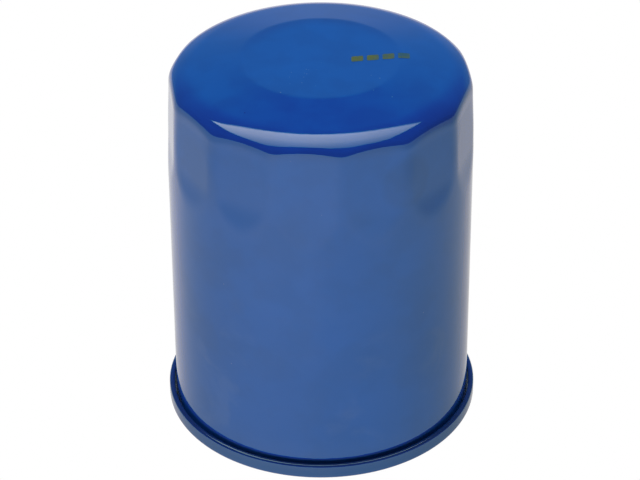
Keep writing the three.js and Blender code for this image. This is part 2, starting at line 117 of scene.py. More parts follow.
def rounded(corners, degrees_per_step=10):
    """An outline through (r, z) corners; a third number rounds that corner with a true arc."""
    points = []
    for i, (r, z, *bend) in enumerate(corners):
        here = np.array([r, z], float)
        if not bend:
            points.append(here)
            continue
        back = np.array(corners[i - 1][:2], float) - here
        on = np.array(corners[(i + 1) % len(corners)][:2], float) - here
        back /= np.linalg.norm(back)
        on /= np.linalg.norm(on)
        half = math.acos(np.clip(back @ on, -1, 1)) / 2
        centre = here + (back + on) / np.linalg.norm(back + on) * bend[0] / math.sin(half)
        first = here + back * bend[0] / math.tan(half) - centre
        last = here + on * bend[0] / math.tan(half) - centre
        start = math.atan2(first[1], first[0])
        turn = math.atan2(first[0] * last[1] - first[1] * last[0], first @ last)
        steps = max(2, math.ceil(abs(math.degrees(turn)) / degrees_per_step))
        for step in range(steps + 1):
            angle = start + turn * step / steps
            points.append(centre + bend[0] * np.array([math.cos(angle), math.sin(angle)]))
    return points


def sheet(points, thickness):
    """The section of sheet metal that follows a middle line, half its thickness to each side."""
    line = np.array(points, float)
    steps = np.diff(line, axis=0)
    steps /= np.linalg.norm(steps, axis=1)[:, None]
    before = np.vstack([steps[:1], steps])
    after = np.vstack([steps, steps[-1:]])
    mean = before + after
    mean /= np.linalg.norm(mean, axis=1)[:, None]
    width = thickness / 2 / (mean * after).sum(1)
    side = np.column_stack([-mean[:, 1], mean[:, 0]]) * width[:, None]
    return [*(line + side), *(line - side)[::-1]]


def rows_between(start, end, spacing):
    """Evenly spaced points on a straight line, both ends included."""
    start, end = np.array(start, float), np.array(end, float)
    count = max(1, round(float(np.linalg.norm(end - start)) / spacing))
    return [start + (end - start) * i / count for i in range(count + 1)]


# ---- Meshes --------------------------------------------------------------------------------------


def new_object(name, vertices, faces, sharp=35):
    """A smooth-shaded mesh object from millimetre vertices, with edges sharper than an angle kept."""
    mesh = bpy.data.meshes.new(name)
    mesh.from_pydata([tuple(v) for v in np.array(vertices, float) * MM], [], faces)
    made = bpy.data.objects.new(name, mesh)
    bpy.context.scene.collection.objects.link(made)
    work = bmesh.new()
    work.from_mesh(mesh)
    bmesh.ops.recalc_face_normals(work, faces=work.faces)
    work.to_mesh(mesh)
    work.free()
    shade(mesh, sharp)
    return made


def shade(mesh, sharp):
    """Smooth shading, with edges sharper than an angle kept."""
    mesh.polygons.foreach_set("use_smooth", [True] * len(mesh.polygons))
    mesh.set_sharp_from_angle(angle=math.radians(sharp))


def lathe(name, outline, columns, warp=None, phase=0.0, sharp=35):
    """Turns a closed outline round the axis. Where it runs along the axis it stays open.
    warp(r, z, angle) moves the points of one column, all as arrays."""
    points = np.array(outline, float)
    on_axis = points[:, 0] < 1e-9
    count = len(points)
    vertices = []
    for column in range(columns):
        angle = phase + TURN * column / columns
        r, z = points[:, 0], points[:, 1]
        if warp:
            r, z = warp(r, z, angle)
        vertices.append(np.column_stack([r * math.sin(angle), -r * math.cos(angle), z]))
    faces = []
    for column in range(columns):
        here, there = column * count, (column + 1) % columns * count
        for i in range(count):
            j = (i + 1) % count
            if not (on_axis[i] and on_axis[j]):
                faces.append((here + i, there + i, there + j, here + j))
    made = new_object(name, np.vstack(vertices), faces, sharp)
    if on_axis.any():
        merge_axis(made.data)
        shade(made.data, sharp)
    return made


def merge_axis(mesh):
    """Joins the points that lie together on the axis, and drops the faces that had no area."""
    work = bmesh.new()
    work.from_mesh(mesh)
    bmesh.ops.remove_doubles(work, verts=work.verts, dist=1e-7)
    bmesh.ops.dissolve_degenerate(work, edges=work.edges, dist=1e-8)
    bmesh.ops.recalc_face_normals(work, faces=work.faces)
    work.to_mesh(mesh)
    work.free()


def prism(name, outline, heights, sharp=35):
    """A closed plan outline carried through a list of heights, with flat ends."""
    count = len(outline)
    vertices = [(x, y, z) for z in heights for x, y in outline]
    faces = [tuple(reversed(range(count)))]
    faces.append(tuple(range((len(heights) - 1) * count, len(heights) * count)))
    for level in range(len(heights) - 1):
        for i in range(count):
            a, b = level * count + i, level * count + (i + 1) % count
            faces.append((a, b, b + count, a + count))
    return new_object(name, vertices, faces, sharp)


def coil(name, radius, wire, bottom, top, turns, sides=20, steps_per_turn=72):
    """A coil spring with closed, ground ends. Its wire's middle line runs from bottom to top."""
    closed = 0.75
    rise = 1.06 * wire * closed
    steps = round(turns * steps_per_turn)
    turn = np.linspace(0, turns, steps + 1)
    share = np.clip((turn - closed) / (turns - 2 * closed), 0, 1)
    ends = np.minimum(turn, closed) + np.maximum(turn - turns + closed, 0)
    height = bottom + (top - bottom - 2 * rise) * share + rise * ends / closed
    angle = TURN * turn
    vertices = []
    for i in range(steps + 1):
        for side in range(sides):
            around = TURN * side / sides
            r = radius + wire / 2 * math.cos(around)
            z = height[i] + wire / 2 * math.sin(around)
            z = min(max(z, bottom - 0.32 * wire), top + 0.32 * wire)
            vertices.append((r * math.cos(angle[i]), r * math.sin(angle[i]), z))
    faces = [tuple(range(sides)), tuple(reversed(range(steps * sides, (steps + 1) * sides)))]
    for i in range(steps):
        for side in range(sides):
            a, b = i * sides + side, i * sides + (side + 1) % sides
            faces.append((a, a + sides, b + sides, b))
    return new_object(name, vertices, faces, 40)


def punch(piece, cutters, sharp=35):
    """Cuts each cutter out of a piece, and deletes the cutters."""
    for cutter in cutters:
        modifier = piece.modifiers.new("hole", "BOOLEAN")
        modifier.operation = "DIFFERENCE"
        modifier.solver = "EXACT"
        modifier.object = cutter
    graph = bpy.context.evaluated_depsgraph_get()
    mesh = bpy.data.meshes.new_from_object(piece.evaluated_get(graph))
    piece.modifiers.clear()
    piece.data = mesh
    for cutter in cutters:
        bpy.data.objects.remove(cutter)
    shade(mesh, sharp)


def rod(radius, length, centre, direction, columns=28):
    """A round cutter along a direction in the XY plane, or along Z when direction is None."""
    made = lathe("cutter", [(0, -length / 2), (radius, -length / 2), (radius, length / 2),
                            (0, length / 2)], columns)
    turn = Matrix.Rotation(math.pi / 2, 4, "X") if direction is not None else Matrix()
    spin = Matrix.Rotation(direction or 0.0, 4, "Z")
    made.data.transform(Matrix.Translation([c * MM for c in centre]) @ spin @ turn)
    return made


# ---- Shader fields -------------------------------------------------------------------------------


class Field:
    """A value that varies over a surface: arithmetic on it adds the maths nodes it needs."""

    def __init__(self, tree, socket):
        self.tree, self.socket = tree, socket

    def math(self, operation, *others):
        node = self.tree.nodes.new("ShaderNodeMath")
        node.operation = operation
        for value, socket in zip((self, *others), node.inputs):
            feed(self.tree, value, socket)
        return Field(self.tree, node.outputs[0])

    def __add__(self, other):
        return self.math("ADD", other)

    def __sub__(self, other):
        return self.math("SUBTRACT", other)

    def __mul__(self, other):
        return self.math("MULTIPLY", other)

    def __truediv__(self, other):
        return self.math("DIVIDE", other)

    def __rsub__(self, other):
        return self * -1.0 + other

    __radd__ = __add__
    __rmul__ = __mul__

    def clamp(self, least, most):
        return self.math("MAXIMUM", least).math("MINIMUM", most)

    def ramp(self, start, end, first=0.0, last=1.0, smooth=True):
        """first before start, last after end, and a smooth climb between them."""
        node = self.tree.nodes.new("ShaderNodeMapRange")
        node.interpolation_type = "SMOOTHSTEP" if smooth else "LINEAR"
        for value, socket in zip((self, start, end, first, last), node.inputs):
            feed(self.tree, value, socket)
        return Field(self.tree, node.outputs[0])


def feed(tree, value, socket):
    """Links a field to a socket, or sets the socket to a plain value."""
    if isinstance(value, Field):
        tree.links.new(value.socket, socket)
    else:
        socket.default_value = value


class Finish:
    """A Principled material whose patterns are laid out in the part's own frame, in millimetres."""

    def __init__(self, name, color, roughness, metallic=0.0, **settings):
        self.material = bpy.data.materials.new(name)
        self.material.use_nodes = True
        self.tree = self.material.node_tree
        self.shader = self.tree.nodes["Principled BSDF"]
        self.set("Base Color", (*color, 1))
        self.set("Roughness", roughness)
        self.set("Metallic", metallic)
        for name, value in settings.items():
            self.set(name.replace("_", " "), value)
        coordinates = self.tree.nodes.new("ShaderNodeTexCoord")
        scale = self.tree.nodes.new("ShaderNodeVectorMath")
        scale.operation = "SCALE"
        scale.inputs["Scale"].default_value = 1 / MM
        self.tree.links.new(coordinates.outputs["Object"], scale.inputs[0])
        self.place = scale.outputs[0]
        split = self.tree.nodes.new("ShaderNodeSeparateXYZ")
        self.tree.links.new(self.place, split.inputs[0])
        self.x, self.y, self.z = (Field(self.tree, s) for s in split.outputs)
        self.radius = (self.x * self.x + self.y * self.y).math("SQRT")

    def set(self, socket, value):
        feed(self.tree, value, self.shader.inputs[socket])

    def stretched(self, x, y, z):
        """The place, scaled differently along each axis, for brushed or flowing patterns."""
        node = self.tree.nodes.new("ShaderNodeVectorMath")
        node.operation = "MULTIPLY"
        self.tree.links.new(self.place, node.inputs[0])
        node.inputs[1].default_value = (x, y, z)
        return node.outputs[0]

    def polar(self, per_radius, per_height):
        """A place that only changes with radius and height, for turned and drawn surfaces."""
        node = self.tree.nodes.new("ShaderNodeCombineXYZ")
        feed(self.tree, self.radius * per_radius, node.inputs[0])
        feed(self.tree, self.z * per_height, node.inputs[2])
        return node.outputs[0]

    def noise(self, size, detail=2.0, where=None, distortion=0.0):
        """Soft noise from 0 to 1 whose blobs are about size millimetres across."""
        node = self.tree.nodes.new("ShaderNodeTexNoise")
        self.tree.links.new(where or self.place, node.inputs["Vector"])
        node.inputs["Scale"].default_value = 1 / size
        node.inputs["Detail"].default_value = detail
        node.inputs["Distortion"].default_value = distortion
        return Field(self.tree, node.outputs[0])

    def specks(self, spacing, size):
        """1 inside sparse round specks, 0 elsewhere."""
        node = self.tree.nodes.new("ShaderNodeTexVoronoi")
        self.tree.links.new(self.place, node.inputs["Vector"])
        node.inputs["Scale"].default_value = 1 / spacing
        distance = Field(self.tree, node.outputs["Distance"])
        return distance.ramp(size / spacing, 0.4 * size / spacing)

    def spot(self, centre, full, gone):
        """1 within one distance of a point, 0 beyond another."""
        node = self.tree.nodes.new("ShaderNodeVectorMath")
        node.operation = "DISTANCE"
        self.tree.links.new(self.place, node.inputs[0])
        node.inputs[1].default_value = centre
        return Field(self.tree, node.outputs["Value"]).ramp(gone, full)

    def faces(self, point):
        """1 where the surface faces a point of the part, 0 where it faces away."""
        offset = self.tree.nodes.new("ShaderNodeVectorMath")
        offset.operation = "SUBTRACT"
        self.tree.links.new(self.place, offset.inputs[0])
        offset.inputs[1].default_value = point
        geometry = self.tree.nodes.new("ShaderNodeNewGeometry")
        product = self.tree.nodes.new("ShaderNodeVectorMath")
        product.operation = "DOT_PRODUCT"
        self.tree.links.new(offset.outputs[0], product.inputs[0])
        self.tree.links.new(geometry.outputs["True Normal"], product.inputs[1])
        return Field(self.tree, product.outputs["Value"]).ramp(0, -1)

    def mix(self, amount, first, second):
        """A colour between two others; each is three numbers or the result of another mix."""
        node = self.tree.nodes.new("ShaderNodeMix")
        node.data_type = "RGBA"
        feed(self.tree, amount, node.inputs[0])
        for color, socket in ((first, node.inputs[6]), (second, node.inputs[7])):
            if isinstance(color, Field):
                self.tree.links.new(color.socket, socket)
            else:
                socket.default_value = (*color, 1)
        return Field(self.tree, node.outputs[2])

    def bump(self, height, millimetres):
        """Adds relief: height runs from 0 to 1 and stands for that many millimetres."""
        node = self.tree.nodes.new("ShaderNodeBump")
        node.inputs["Strength"].default_value = 1.0
        node.inputs["Distance"].default_value = millimetres * MM
        feed(self.tree, height, node.inputs["Height"])
        before = self.shader.inputs["Normal"]
        if before.is_linked:
            self.tree.links.new(before.links[0].from_socket, node.inputs["Normal"])
        self.tree.links.new(node.outputs[0], before)


# ---- Finishes ------------------------------------------------------------------------------------

BLUE = (0.004, 0.069, 0.348)
# the deep blues are the darker enamel, used both for random tone and for painted shade low down
BLUE_DEEP = (0.004, 0.056, 0.288)
SEAM_BLUE = (0.010, 0.054, 0.222)
SEAM_BLUE_DEEP = (0.007, 0.044, 0.190)
TIN = (0.60, 0.60, 0.575)


def on_wall(angle, height):
    """A point on the can's wall."""
    return CAN_RADIUS * math.sin(angle), -CAN_RADIUS * math.cos(angle), height


def enamel(finish, full, deep):
    """Blue enamel's colour: random tone, with painted shade low down, round the shoulder and on the
    crown's rear, a faint painted shade of a dent, a mottled painted reflection of the white table low on
    the wall, pale dust and dark pinholes."""
    # partly painted shade: the noise is random tone, the z ramp darkens the enamel towards the bottom
    depth = finish.noise(26, 3).ramp(0.3, 0.7, 0, 0.5) + finish.z.ramp(5, 85, 0, 0.5, smooth=False)
    # painted shade: a faint darker spot where the shade of a shallow dent falls on the wall
    dent_shade = finish.spot(on_wall(math.radians(33.6), 83.5), 5.5, 8)
    patches = finish.noise(11, 4).ramp(0.42, 0.62) * 0.16
    # painted shade: darker enamel round the shoulder and on the crown's rear, standing in for less light
    # there
    shoulder = finish.radius.ramp(31, 35) * finish.z.ramp(SHOULDER_START, SHOULDER_START + 3) * 0.25
    crown_rear_shade = finish.spot((0, 38, TOP), 24, 42) * finish.radius.ramp(15, 21) * 0.38
    # painted reflection: a mottled pale grey low on the wall, standing in for the white table mirrored
    # there
    table_reflection = finish.noise(16, 5, distortion=0.6).ramp(0.56, 0.72) * finish.z.ramp(60, 25) * 0.05
    blue = finish.mix(dent_shade * 0.22 + patches, finish.mix(depth, deep, full), (0.003, 0.03, 0.16))
    blue = finish.mix(table_reflection, finish.mix(shoulder + crown_rear_shade, blue, (0.012, 0.025, 0.15)), (0.30, 0.32, 0.36))
    dust = finish.specks(5.0, 0.20) * finish.noise(19, 1).ramp(0.50, 0.60)
    settled = finish.specks(1.4, 0.15) * finish.spot((-5, -8, TOP), 4, 10)
    pinholes = finish.specks(11, 0.26)
    dusty = finish.mix((dust + settled) * 0.6, blue, (0.22, 0.26, 0.34))
    return finish.mix(pinholes * 0.7, dusty, (0.002, 0.01, 0.06))


def can_paint():
    """Enamel over the can's outside. Its inside stays bare tinplate."""
    finish = Finish("blue_enamel", BLUE, 0.07, IOR=1.5)
    bare = finish.faces((0, 0, TOP / 2))
    # the enamel's colour includes painted shade and a painted reflection of the table, made in enamel()
    finish.set("Base Color", finish.mix(bare, enamel(finish, BLUE, BLUE_DEEP), TIN))
    finish.set("Metallic", bare)
    finish.set("Roughness", finish.noise(9, 3).ramp(0.35, 0.75, 0.055, 0.10) + bare * 0.2)
    finish.bump(finish.noise(9, 2) * finish.z.ramp(88, 60), 0.05)
    finish.bump(finish.noise(2.6, 1.5), 0.0035)
    finish.bump(finish.noise(0.7, 1), 0.00035)
    return finish.material


def seam_paint():
    """Enamel over the outside of the seam; bare tinplate with overspray on the underside."""
    finish = Finish("seam_enamel", BLUE, 0.12, IOR=1.5)
    edge = finish.radius + finish.noise(1.4, 3) * 1.3 + (finish.z - SEAM_BOTTOM) * 0.9
    painted = edge.ramp(CAN_RADIUS + 0.3, CAN_RADIUS + 1.5)
    scuffs = finish.noise(0.5, 4, finish.polar(2.5, 2.5))
    tin = finish.mix(scuffs.ramp(0.3, 0.75), TIN, (0.47, 0.47, 0.455))
    # the seam's enamel carries the same painted shade and painted reflection, strongest here low down
    blue = enamel(finish, SEAM_BLUE, SEAM_BLUE_DEEP)
    crest = finish.radius.ramp(SEAM_RADIUS - 0.9, SEAM_RADIUS - 1.2)
    crest *= finish.z.ramp(SEAM_TOP - 0.9, SEAM_TOP - 0.4)
    flakes = finish.noise(0.35, 2).ramp(0.64, 0.70) * finish.noise(4, 2).ramp(0.48, 0.6)
    chipped = finish.mix(flakes * crest, blue, (0.20, 0.24, 0.30))
    finish.set("Base Color", finish.mix(painted, tin, chipped))
    finish.set("Metallic", 1 - painted)
    finish.set("Roughness", painted * -0.16 + scuffs.ramp(0.2, 0.8, 0.24, 0.34))
    finish.bump(finish.noise(2.6, 1.5), 0.0035)
    finish.bump(scuffs, 0.0012)
    return finish.material


def tinplate():
    """Bright drawn tinplate with faint draw lines."""
    finish = Finish("tinplate", TIN, 0.28, 1.0)
    lines = finish.noise(0.35, 3, finish.polar(1, 1))
    cloud = finish.noise(7, 3)
    finish.set("Base Color", finish.mix(cloud.ramp(0.3, 0.7), TIN, (0.50, 0.495, 0.47)))
    finish.set("Roughness", lines.ramp(0.3, 0.7, 0.22, 0.36))
    finish.bump(lines, 0.002)
    return finish.material


def plate_steel():
    """Pressed steel under a film of oil: mottled, with fine grain and a few darker stains."""
    finish = Finish("plate_steel", (0.42, 0.42, 0.43), 0.36, 1.0)
    stain = finish.noise(5, 4, distortion=0.6).ramp(0.35, 0.7)
    grain = finish.noise(0.25, 4)
    finish.set("Base Color", finish.mix(stain, (0.46, 0.46, 0.465), (0.30, 0.295, 0.29)))
    finish.set("Roughness", stain * -0.10 + grain.ramp(0.3, 0.7, 0.34, 0.46))
    finish.bump(grain, 0.006)
    return finish.material


def spring_steel():
    """Dark drawn wire with a faint heat tint."""
    finish = Finish("spring_wire", (0.20, 0.20, 0.215), 0.33, 1.0)
    draw = finish.noise(0.22, 3, finish.polar(3, 3))
    heat = finish.noise(6, 2).ramp(0.3, 0.7)
    finish.set("Base Color", finish.mix(heat, (0.24, 0.24, 0.25), (0.15, 0.14, 0.15)))
    finish.set("Roughness", draw.ramp(0.3, 0.7, 0.27, 0.42))
    finish.bump(draw, 0.003)
    return finish.material


def rubber(name, shade_of_black, bloom, gloss):
    """Moulded nitrile rubber: fine skin texture and a pale, patchy bloom."""
    finish = Finish(name, (shade_of_black,) * 3, gloss, IOR=1.52)
    patches = finish.noise(4, 4).ramp(0.42, 0.78)
    skin = finish.noise(0.18, 3)
    lighter = shade_of_black + bloom
    finish.set("Base Color", finish.mix(patches, (shade_of_black,) * 3, (lighter, lighter, lighter)))
    finish.set("Roughness", patches * 0.12 + skin.ramp(0.3, 0.7, gloss - 0.05, gloss + 0.06))
    finish.bump(skin, 0.010)
    return finish.material


def filter_paper():
    """Resin-treated paper: tangled fibres, and the dimpled rows that keep the pleats apart."""
    finish = Finish("filter_paper", (0.66, 0.47, 0.20), 0.85, IOR=1.45)
    fibres = finish.noise(0.16, 5, finish.stretched(1, 1, 2.4), distortion=1.2)
    cloud = finish.noise(3.0, 3).ramp(0.3, 0.7)
    warm = finish.mix(cloud, (0.70, 0.51, 0.23), (0.58, 0.40, 0.16))
    finish.set("Base Color", finish.mix(fibres.ramp(0.45, 0.7) * 0.5, warm, (0.78, 0.64, 0.38)))
    rows = (finish.z * 2.2).math("SINE").ramp(-1.0, 1.0)
    finish.bump(fibres, 0.05)
    finish.bump(rows, 0.06)
    return finish.material


def plastisol():
    """Cured red-brown plastisol, with slow flow marks."""
    finish = Finish("plastisol", (0.42, 0.06, 0.03), 0.42, IOR=1.5)
    flow = finish.noise(2.2, 3, distortion=0.8)
    finish.set("Base Color", finish.mix(flow.ramp(0.3, 0.7), (0.47, 0.075, 0.04), (0.33, 0.04, 0.025)))
    finish.set("Roughness", flow.ramp(0.3, 0.7, 0.34, 0.52))
    finish.bump(flow, 0.05)
    return finish.material


def compound():
    """Grey, lumpy seaming compound."""
    finish = Finish("seam_compound", (0.32, 0.31, 0.26), 0.7, IOR=1.45)
    lumps = finish.noise(0.6, 3)
    finish.set("Base Color", finish.mix(lumps, (0.26, 0.25, 0.21), (0.40, 0.39, 0.33)))
    finish.bump(lumps, 0.03)
    return finish.material


def ink():
    """Dry ink-jet ink, thin enough for the enamel to show through between its dots."""
    finish = Finish("ink", (0.10, 0.115, 0.03), 0.45, IOR=1.45)
    dots = finish.noise(0.35, 2) * 0.5 + finish.noise(3.5, 1) * 0.5
    finish.set("Base Color", finish.mix(dots.ramp(0.38, 0.60), (0.018, 0.058, 0.115), (0.085, 0.09, 0.02)))
    finish.bump(dots, 0.004)
    return finish.material


PAINT = can_paint()
SEAM_PAINT = seam_paint()
TINPLATE = tinplate()
PLATE_STEEL = plate_steel()
SPRING_STEEL = spring_steel()
GASKET_RUBBER = rubber("gasket_rubber", 0.018, 0.012, 0.40)
VALVE_RUBBER = rubber("valve_rubber", 0.022, 0.016, 0.52)
FILTER_PAPER = filter_paper()
PLASTISOL = plastisol()
COMPOUND = compound()
INK = ink()


# ---- Pieces --------------------------------------------------------------------------------------


def dress(piece, node, body, material):
    """Gives a piece its finish, and puts it on its body in place of its CAD node."""
    piece.data.materials.clear()
    piece.data.materials.append(material)
    piece.data.polygons.foreach_set("material_index", [0] * len(piece.data.polygons))
    if node:
        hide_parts(node)
    if body:
        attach(piece, body)
    return piece


def smooth_min(a, b, width):
    """The lesser of two values, with the corner between them rounded over a width."""
    overlap = np.maximum(width - np.abs(a - b), 0) / width
    return np.minimum(a, b) - overlap * overlap * width / 4


def smoothstep(value, start, end):
    """0 before start, 1 after end, and a smooth climb between them."""
    share = np.clip((value - start) / (end - start), 0, 1)
    return share * share * (3 - 2 * share)


def flat_radius(z, angle, inside):
    """Radius at which the wrench flats' planes cut the can. They start clear outside it."""
    step = TURN / FLATS
    away = abs(angle - FLAT_PHASE - step * round((angle - FLAT_PHASE) / step))
    lean = np.clip((z - FLAT_END) / (SHOULDER_START - FLAT_END), 0, 1)
    depth = (FLAT_END_DEPTH + CREASE) * smoothstep(z, FLAT_END, FLAT_END + FLAT_RUN_OUT) - CREASE
    depth += (FLAT_TOP_DEPTH - FLAT_END_DEPTH) * lean
    plane = CAN_RADIUS - inside - depth
    return smooth_min(plane / math.cos(away), plane / math.cos(step - away), FLAT_RIDGE)


def can_profile():
    """Middle line of the can: body hook, wall, shoulder, crown, cone and disc."""
    half = CAN_SHEET / 2
    wall = CAN_RADIUS - half
    hook = SEAM_RADIUS - LID_SHEET - LAYER_GAP - half
    flange = low("can_shell") + half
    middle = rounded([
        (hook, SEAM_TOP - LID_SHEET - 0.5),
        (hook, flange, 0.35),
        (wall, flange, 0.35),
        (wall, 12),
    ])
    middle += rows_between((wall, 60), (wall, SHOULDER_START), 0.5)
    for angle in np.linspace(0, SHOULDER_SWEEP, 40)[1:]:
        middle.append(np.array([
            wall - (SHOULDER_RADIUS - half) * (1 - math.cos(angle)),
            SHOULDER_START + (SHOULDER_RADIUS - half) * math.sin(angle),
        ]))
    r, z = middle[-1]
    for angle in np.linspace(SHOULDER_SWEEP, math.pi / 2 - CONE_SLOPE, 20)[1:]:
        middle.append(np.array([
            r - (CROWN_RADIUS - half) * (math.cos(SHOULDER_SWEEP) - math.cos(angle)),
            z + (CROWN_RADIUS - half) * (math.sin(angle) - math.sin(SHOULDER_SWEEP)),
        ]))
    return middle + rounded([tuple(middle[-1]), (DISC_RADIUS, TOP - half, 8.0), (0, TOP - half)], 1.5)[1:]


def can_shell():
    """Deep-drawn can with its wrench flats pressed in under the shoulder."""
    section = np.array(sheet(can_profile(), CAN_SHEET))
    inside = np.arange(len(section)) < len(section) / 2

    def press_flats(r, z, angle):
        width = CREASE + (SHOULDER_CREASE - CREASE) * smoothstep(z, 82, 92)
        cut = smooth_min(r, flat_radius(z, angle, inside * CAN_SHEET), width)
        pressed = (z > FLAT_END) & (r > CAN_RADIUS - SHOULDER_RADIUS / 2)
        return np.where(pressed, cut, r), z

    piece = lathe("can_shell_fine", section, CAN_COLUMNS, press_flats, FLAT_PHASE, 30)
    return dress(piece, "can_shell", "can", PAINT)


def seaming_lid():
    """Seaming lid: cover hook and fold of the seam, recess, gasket groove, ridge, inner flat."""
    outer = SEAM_RADIUS - LID_SHEET / 2
    hook = SEAM_RADIUS - LID_SHEET * 1.5 - LAYER_GAP * 2 - CAN_SHEET
    top = SEAM_TOP - LID_SHEET / 2
    bottom = SEAM_BOTTOM + LID_SHEET / 2
    chuck = CAN_RADIUS - CAN_SHEET - LAYER_GAP - LID_SHEET / 2
    fold = (outer - hook) / 2 * 0.995
    floor = high("seaming_lid") - LID_SHEET / 2
    step_height, groove_outer, groove_inner = 4.15, 35.45, 30.2
    ridge_inner, ridge_height = 28.6, 2.6
    middle = rounded([
        (hook, 2.9),
        (hook, top, fold),
        (outer, top, fold),
        (outer, bottom, 0.7),
        (chuck, bottom, 0.5),
        (chuck, step_height, 0.45),
        (groove_outer, step_height, 0.45),
        (groove_outer, floor, 0.5),
        (groove_inner, floor, 0.5),
        (groove_inner, ridge_height, 0.6),
        (ridge_inner, ridge_height, 0.6),
        (ridge_inner, floor, 0.8),
        (27.5, floor),
    ], 9)
    middle += rows_between((27.3, floor), (25.0, floor), 0.25)
    welds, weld_circle = 8, 26.4

    def dent(r, z, angle):
        step = TURN / welds
        away = angle - step * round(angle / step)
        near = np.hypot(r - weld_circle, r * away)
        under = z < floor
        return r, z + np.where(under, 0.2 * np.exp(-(near / 0.75) ** 2), 0)

    piece = lathe("seaming_lid_fine", sheet(middle, LID_SHEET), CAN_COLUMNS, dent, sharp=40)
    return dress(piece, "seaming_lid", "can", SEAM_PAINT)


def ring(name, node, body, material, inner, outer, soft=0.2, columns=INNER_COLUMNS):
    """A ring of rectangular section with rounded edges, as high as its CAD node."""
    bottom, top = low(node), high(node)
    section = rounded([(inner, bottom, soft), (outer, bottom, soft), (outer, top, soft),
                       (inner, top, soft)], 18)
    return dress(lathe(name, section, columns), node, body, material)


def sealing_gasket():
    """Square-cut gasket: crowned sealing face, and a flash line round its middle."""
    top = high("sealing_gasket")
    inner, outer = 30.9, 34.7
    chamfer, flash, line = 0.75, 0.09, top * 0.55
    section = rounded([
        (inner, chamfer, 0.35),
        (inner + chamfer, 0.0, 0.35),
        (outer - chamfer, 0.0, 0.35),
        (outer, chamfer, 0.35),
        (outer, line),
        (outer + flash, line + 0.12),
        (outer, line + 0.24),
        (outer, top, 0.4),
        (inner, top, 0.4),
        (inner, line + 0.24),
        (inner - flash, line + 0.12),
        (inner, line),
    ], 12)
    piece = lathe("sealing_gasket_fine", section, FINE_COLUMNS, sharp=50)
    return dress(piece, "sealing_gasket", "can", GASKET_RUBBER)


def base_plate():
    """Threaded base plate: pressed disc, hub, collar with a 3/4-16 thread, eight inlets."""
    bottom, top = low("base_plate"), high("base_plate")
    face = bottom + 3.2
    pitch = 25.4 / 16
    major, minor = 19.05 / 2, 17.4 / 2
    outer = rounded([
        (major + 0.5, bottom),
        (36.8, bottom, 0.8),
        (36.8, face, 0.4),
        (15.5, face, 0.6),
        (15.5, 11.9, 0.5),
        (12.0, 11.9, 0.4),
        (12.0, top, 0.5),
        (major + 0.3, top),
    ], 15)
    bore = rows_between((minor, top - 0.02), (minor, bottom + 0.02), pitch / 14)
    section = [*outer, *bore]
    bored = np.arange(len(section)) >= len(outer)

    def cut_thread(r, z, angle):
        phase = np.mod(z / pitch - angle / TURN, 1.0)
        wave = np.clip(np.abs(phase - 0.5) * 2.6 - 0.15, 0, 1)
        thread = minor + (major - minor) * wave
        lead_in = major + 0.5 - np.minimum(z - bottom, top - z)
        return np.where(bored, np.maximum(thread, lead_in), r), z

    piece = lathe("base_plate_fine", section, FINE_COLUMNS, cut_thread, sharp=28)
    inlets, circle = [], 21
    for i in range(8):
        angle = TURN * (i + 0.5) / 8
        centre = (circle * math.cos(angle), circle * math.sin(angle), (bottom + face) / 2)
        inlets.append(rod(3.0, 7.0, centre, None, 36))
    punch(piece, inlets, 28)
    return dress(piece, "base_plate", "can", PLATE_STEEL)


def drainback_valve():
    """Anti-drainback valve: a sleeve round the collar and a lip over the inlets."""
    face = low("anti_drainback_valve") - 0.1
    root, shoulder, top = 12.0, 13.3, high("anti_drainback_valve")
    section = rounded([
        (12.3, root, 0.2),
        (15.5, root, 1.2),
        (24.9, face + 0.78, 0.6),
        (25.7, face + 0.1, 0.25),
        (26.5, face + 0.4, 0.25),
        (26.5, face + 1.0, 0.3),
        (15.4, shoulder, 2.0),
        (14.0, shoulder, 0.5),
        (14.0, 16.0),
        (14.12, 16.25),
        (14.0, 16.5),
        (14.0, top, 0.5),
        (12.3, top, 0.5),
    ], 9)
    piece = lathe("anti_drainback_valve_fine", section, INNER_COLUMNS, sharp=50)
    dress(piece, "anti_drainback_valve", None, VALVE_RUBBER)
    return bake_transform(piece)


def lower_end_cap():
    """Cup under the pleats, with a pressed bead and a neck round the valve's sleeve."""
    plate, top = low("lower_end_cap") + CAP_SHEET / 2, high("lower_end_cap")
    section = sheet(rounded([
        (CAP_RADIUS, top - 1.6),
        (CAP_RADIUS, plate, 0.8),
        (27.5, plate, 0.5),
        (27.0, plate + 0.35, 0.4),
        (24.0, plate + 0.35, 0.4),
        (23.5, plate, 0.5),
        (14.5, plate, 0.7),
        (14.5, top),
    ], 12), CAP_SHEET)
    piece = lathe("lower_end_cap_fine", section, INNER_COLUMNS)
    return dress(piece, "lower_end_cap", "element", TINPLATE)


def upper_end_cap():
    """Cup over the pleats, with a pressed bead and the hole for the bypass valve."""
    plate = high("upper_end_cap") - CAP_SHEET / 2
    section = sheet(rounded([
        (CAP_RADIUS, low("upper_end_cap")),
        (CAP_RADIUS, plate, 0.8),
        (28.5, plate, 0.5),
        (28.0, plate - 0.3, 0.4),
        (25.0, plate - 0.3, 0.4),
        (24.5, plate, 0.5),
        (12.8, plate),
    ], 12), CAP_SHEET)
    piece = lathe("upper_end_cap_fine", section, INNER_COLUMNS)
    return dress(piece, "upper_end_cap", "element", TINPLATE)


